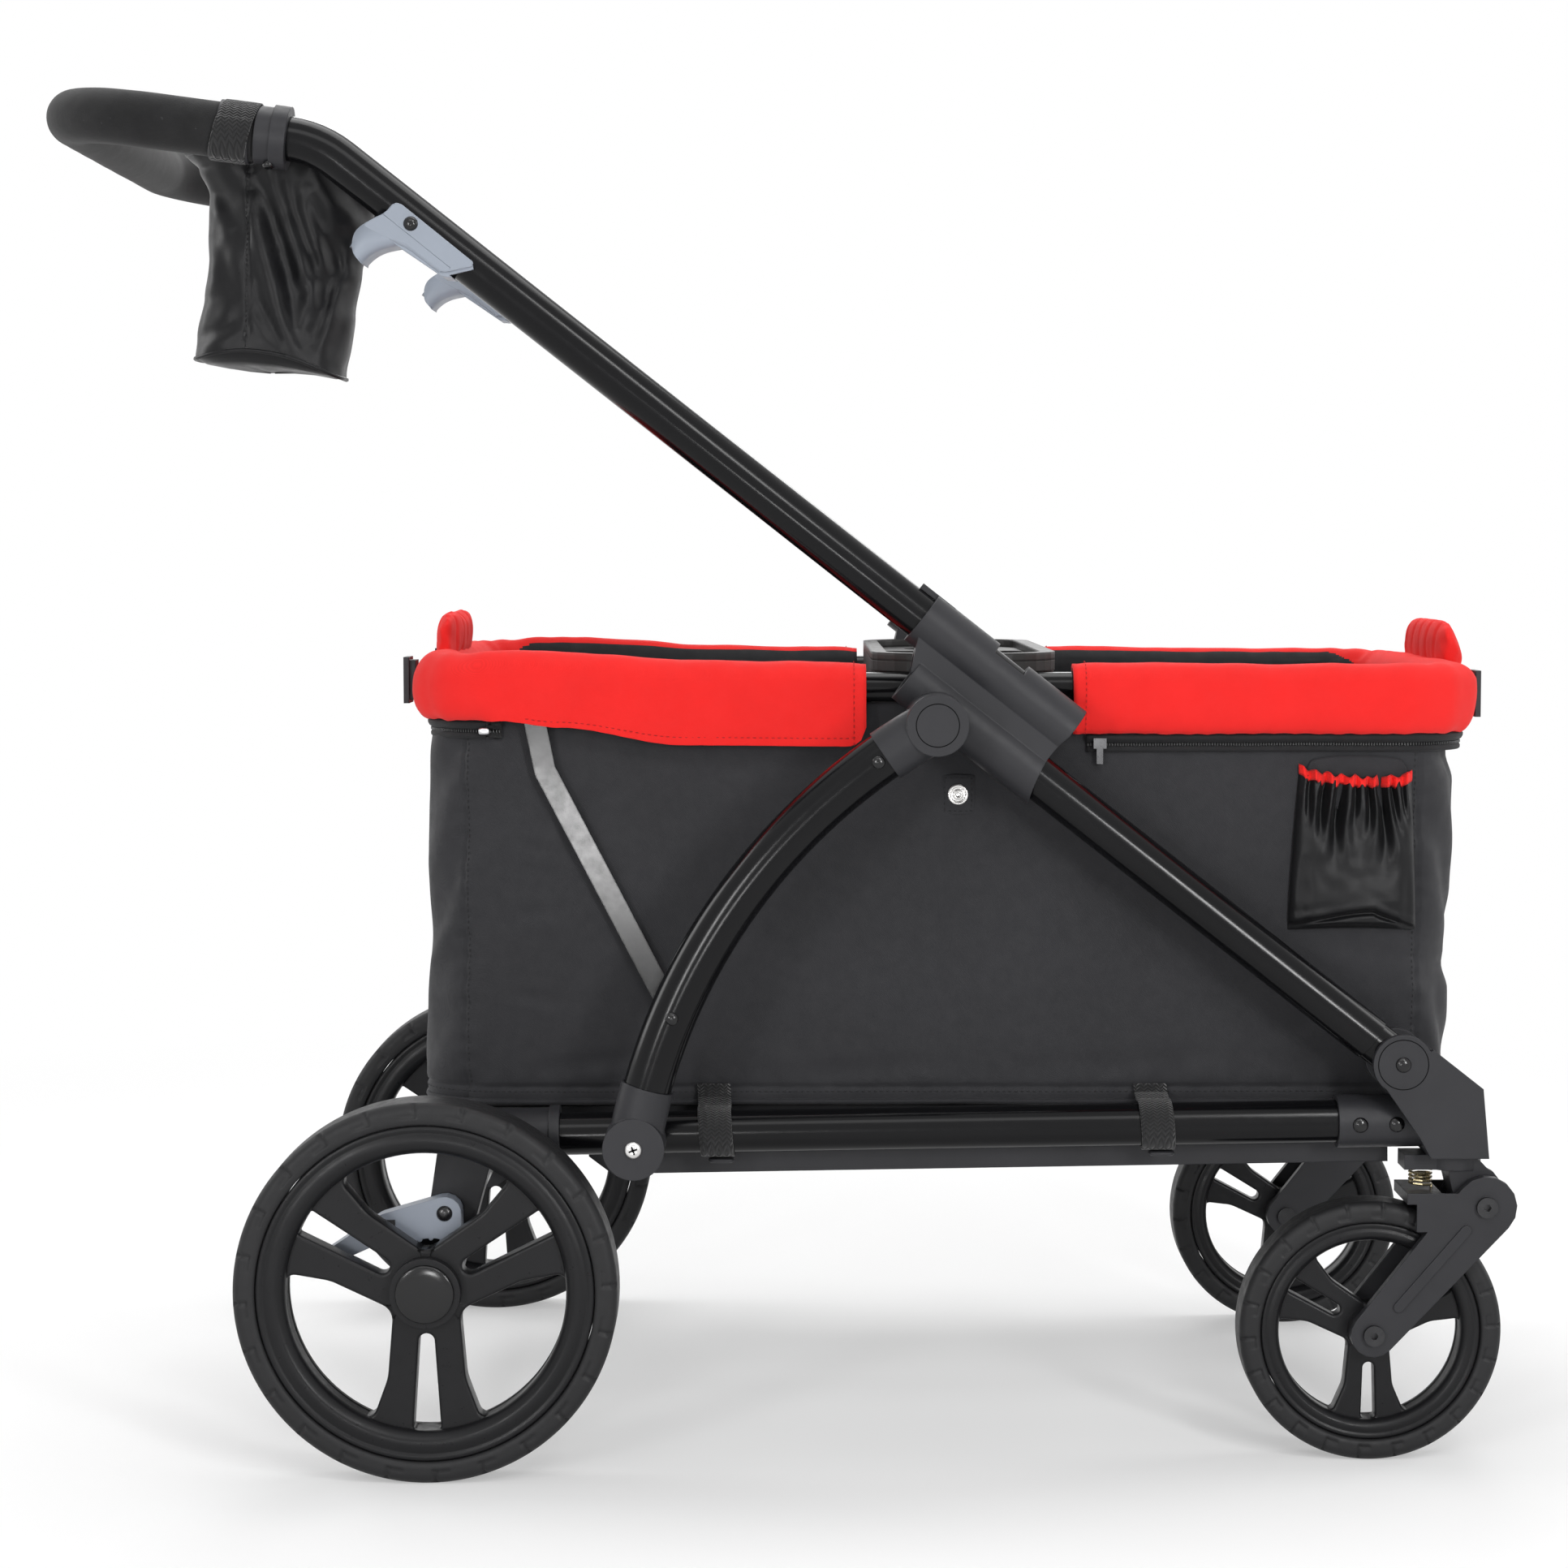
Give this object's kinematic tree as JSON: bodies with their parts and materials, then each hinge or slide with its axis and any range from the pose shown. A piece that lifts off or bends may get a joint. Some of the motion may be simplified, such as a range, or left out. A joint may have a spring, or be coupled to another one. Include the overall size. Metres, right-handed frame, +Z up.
{
  "type": "stroller wagon",
  "caption": "Folding push wagon with a dark fabric tub, red padded rim, child tray, curved legs, sprung front casters and a long padded handle.",
  "frame": {"origin": "on the floor under the middle of the overall length and width", "axes": "+X forward to the casters, +Y to the left side, +Z up"},
  "size_m": [1.1414, 0.645, 1.0638],
  "materials": {
    "satin_black_steel": "satin black powder coat",
    "charcoal_plastic": "fine grained charcoal",
    "zinc_steel": "zinc plated",
    "spring_steel": "yellow passivated",
    "dark_fabric": "dark grey woven polyester",
    "red_fabric": "bright red woven polyester",
    "grip_foam": "closed cell foam",
    "tray_plastic": "dark warm grey",
    "tray_rim_plastic": "warm grey",
    "lever_plastic": "light grey",
    "pedal_plastic": "mid grey",
    "tyre_rubber": "matt foam rubber"
  },
  "bodies": {
    "chassis": {"lower_rail_left": "satin_black_steel", "lower_rail_right": "satin_black_steel", "rear_housing_left": "charcoal_plastic", "rear_housing_right": "charcoal_plastic", "front_bracket_left": "charcoal_plastic", "front_bracket_right": "charcoal_plastic", "cross_tubes": "satin_black_steel", "rear_axle": "zinc_steel", "floor_runners": "charcoal_plastic", "floor_board": "charcoal_plastic", "side_wall_left": "dark_fabric", "side_wall_right": "dark_fabric", "end_wall_front": "dark_fabric", "end_wall_rear": "dark_fabric", "side_pocket": "dark_fabric", "floor_straps": "dark_fabric", "chassis_pins": "zinc_steel"},
    "legs": {"leg_tube_left": "satin_black_steel", "leg_tube_right": "satin_black_steel", "leg_caps": "charcoal_plastic", "leg_rivets": "zinc_steel"},
    "braces": {"brace_tube_left": "satin_black_steel", "brace_tube_right": "satin_black_steel"},
    "handle": {"slide_hub_left": "charcoal_plastic", "slide_hub_right": "charcoal_plastic", "handle_tube": "satin_black_steel", "handle_grip": "grip_foam", "grip_fittings": "charcoal_plastic"},
    "pouch": {"cup_pouch": "dark_fabric"},
    "lever_left": {"release_lever_left": "lever_plastic"},
    "lever_right": {"release_lever_right": "lever_plastic"},
    "tub_rim": {"rim_rail": "satin_black_steel", "bolster_rear": "red_fabric", "bolster_front": "red_fabric", "head_pad_rear": "red_fabric", "head_pad_front": "red_fabric", "accessory_brackets": "charcoal_plastic", "tray_body": "tray_plastic", "tray_rim": "tray_rim_plastic", "zip_bands": "dark_fabric"},
    "zip_pull": {"zip_slider": "zinc_steel"},
    "tub_struts": {"struts": "satin_black_steel"},
    "caster_left": {"caster_head_left": "charcoal_plastic", "caster_spring_left": "spring_steel"},
    "caster_right": {"caster_head_right": "charcoal_plastic", "caster_spring_right": "spring_steel"},
    "fork_left": {"trailing_fork_left": "charcoal_plastic", "fork_bolts_left": "zinc_steel"},
    "fork_right": {"trailing_fork_right": "charcoal_plastic", "fork_bolts_right": "zinc_steel"},
    "front_wheel_left": {"front_rim_left": "charcoal_plastic", "front_tyre_left": "tyre_rubber"},
    "front_wheel_right": {"front_rim_right": "charcoal_plastic", "front_tyre_right": "tyre_rubber"},
    "rear_wheel_left": {"rear_rim_left": "charcoal_plastic", "rear_tyre_left": "tyre_rubber"},
    "rear_wheel_right": {"rear_rim_right": "charcoal_plastic", "rear_tyre_right": "tyre_rubber"},
    "pedal_left": {"brake_pedal_left": "pedal_plastic"},
    "pedal_right": {"brake_pedal_right": "pedal_plastic"}
  },
  "joints": [
    {"name": "frame_fold", "type": "hinge", "parent": "chassis", "child": "legs", "pos_m": [-0.11132, 0, 0.25498], "axis": [0, 1, 0], "range_deg": [0, 44.3], "deforming": ["side_wall_left", "side_wall_right", "end_wall_front", "end_wall_rear", "side_pocket"]},
    {"name": "brace_swing", "type": "hinge", "parent": "chassis", "child": "braces", "pos_m": [0.47768, 0, 0.31273], "axis": [0, -1, 0], "range_deg": [0, 30.9]},
    {"name": "hub_slide", "type": "slide", "parent": "braces", "child": "handle", "axis": [0.7859, 0, -0.6184], "range_m": [0, 0.246]},
    {"name": "tub_lower", "type": "slide", "parent": "chassis", "child": "tub_rim", "axis": [0, 0, -1], "range_m": [0, 0.206]},
    {"name": "strut_swing", "type": "hinge", "parent": "tub_rim", "child": "tub_struts", "pos_m": [-0.19232, 0, 0.58], "axis": [0, -1, 0], "range_deg": [0, 52.3]},
    {"name": "pouch_swing", "type": "hinge", "parent": "handle", "child": "pouch", "pos_m": [-0.41237, -0.221, 1.0247], "axis": [0, 1, 0], "range_deg": [0, 30.9]},
    {"name": "zip_travel", "type": "slide", "parent": "tub_rim", "child": "zip_pull", "axis": [1, 0, 0], "range_m": [0, 0.24]},
    {"name": "lever_squeeze_left", "type": "hinge", "parent": "handle", "child": "lever_left", "pos_m": [-0.27805, 0.249, 0.95325], "axis": [0, 1, 0], "range_deg": [0, 10], "stiffness_Nm_per_rad": 2, "springref_deg": -17.19},
    {"name": "rear_wheel_spin_left", "type": "hinge", "parent": "chassis", "child": "rear_wheel_left", "pos_m": [-0.26932, 0.3, 0.146], "axis": [0, 1, 0], "continuous": true},
    {"name": "brake_press_left", "type": "hinge", "parent": "chassis", "child": "pedal_left", "pos_m": [-0.25872, 0.264, 0.1983], "axis": [0, -1, 0], "range_deg": [0, 6.5]},
    {"name": "caster_swivel_left", "type": "hinge", "parent": "chassis", "child": "caster_left", "pos_m": [0.52268, 0.236, 0.2396], "axis": [0, 0, 1], "continuous": true},
    {"name": "suspension_left", "type": "hinge", "parent": "caster_left", "child": "fork_left", "pos_m": [0.54368, 0.236, 0.2015], "axis": [0, 1, 0], "range_deg": [0, 6], "stiffness_Nm_per_rad": 20, "springref_deg": -22.92, "deforming": ["caster_spring_left"]},
    {"name": "front_wheel_spin_left", "type": "hinge", "parent": "fork_left", "child": "front_wheel_left", "pos_m": [0.45768, 0.236, 0.1015], "axis": [0, 1, 0], "continuous": true},
    {"name": "lever_squeeze_right", "type": "hinge", "parent": "handle", "child": "lever_right", "pos_m": [-0.27805, -0.249, 0.95325], "axis": [0, 1, 0], "range_deg": [0, 10], "stiffness_Nm_per_rad": 2, "springref_deg": -17.19},
    {"name": "rear_wheel_spin_right", "type": "hinge", "parent": "chassis", "child": "rear_wheel_right", "pos_m": [-0.26932, -0.3, 0.146], "axis": [0, 1, 0], "continuous": true},
    {"name": "brake_press_right", "type": "hinge", "parent": "chassis", "child": "pedal_right", "pos_m": [-0.25872, -0.264, 0.1983], "axis": [0, -1, 0], "range_deg": [0, 6.5]},
    {"name": "caster_swivel_right", "type": "hinge", "parent": "chassis", "child": "caster_right", "pos_m": [0.52268, -0.236, 0.2396], "axis": [0, 0, 1], "continuous": true},
    {"name": "suspension_right", "type": "hinge", "parent": "caster_right", "child": "fork_right", "pos_m": [0.54368, -0.236, 0.2015], "axis": [0, 1, 0], "range_deg": [0, 6], "stiffness_Nm_per_rad": 20, "springref_deg": -22.92, "deforming": ["caster_spring_right"]},
    {"name": "front_wheel_spin_right", "type": "hinge", "parent": "fork_right", "child": "front_wheel_right", "pos_m": [0.45768, -0.236, 0.1015], "axis": [0, 1, 0], "continuous": true}
  ],
  "couplings": [
    {"joint": "brace_swing", "follows": "frame_fold", "ratio": 0.693},
    {"joint": "hub_slide", "follows": "frame_fold", "m_per_rad": 0.3164},
    {"joint": "tub_lower", "follows": "frame_fold", "m_per_rad": 0.2651},
    {"joint": "strut_swing", "follows": "frame_fold", "ratio": 1.1738},
    {"joint": "pouch_swing", "follows": "frame_fold", "ratio": 0.693}
  ]
}
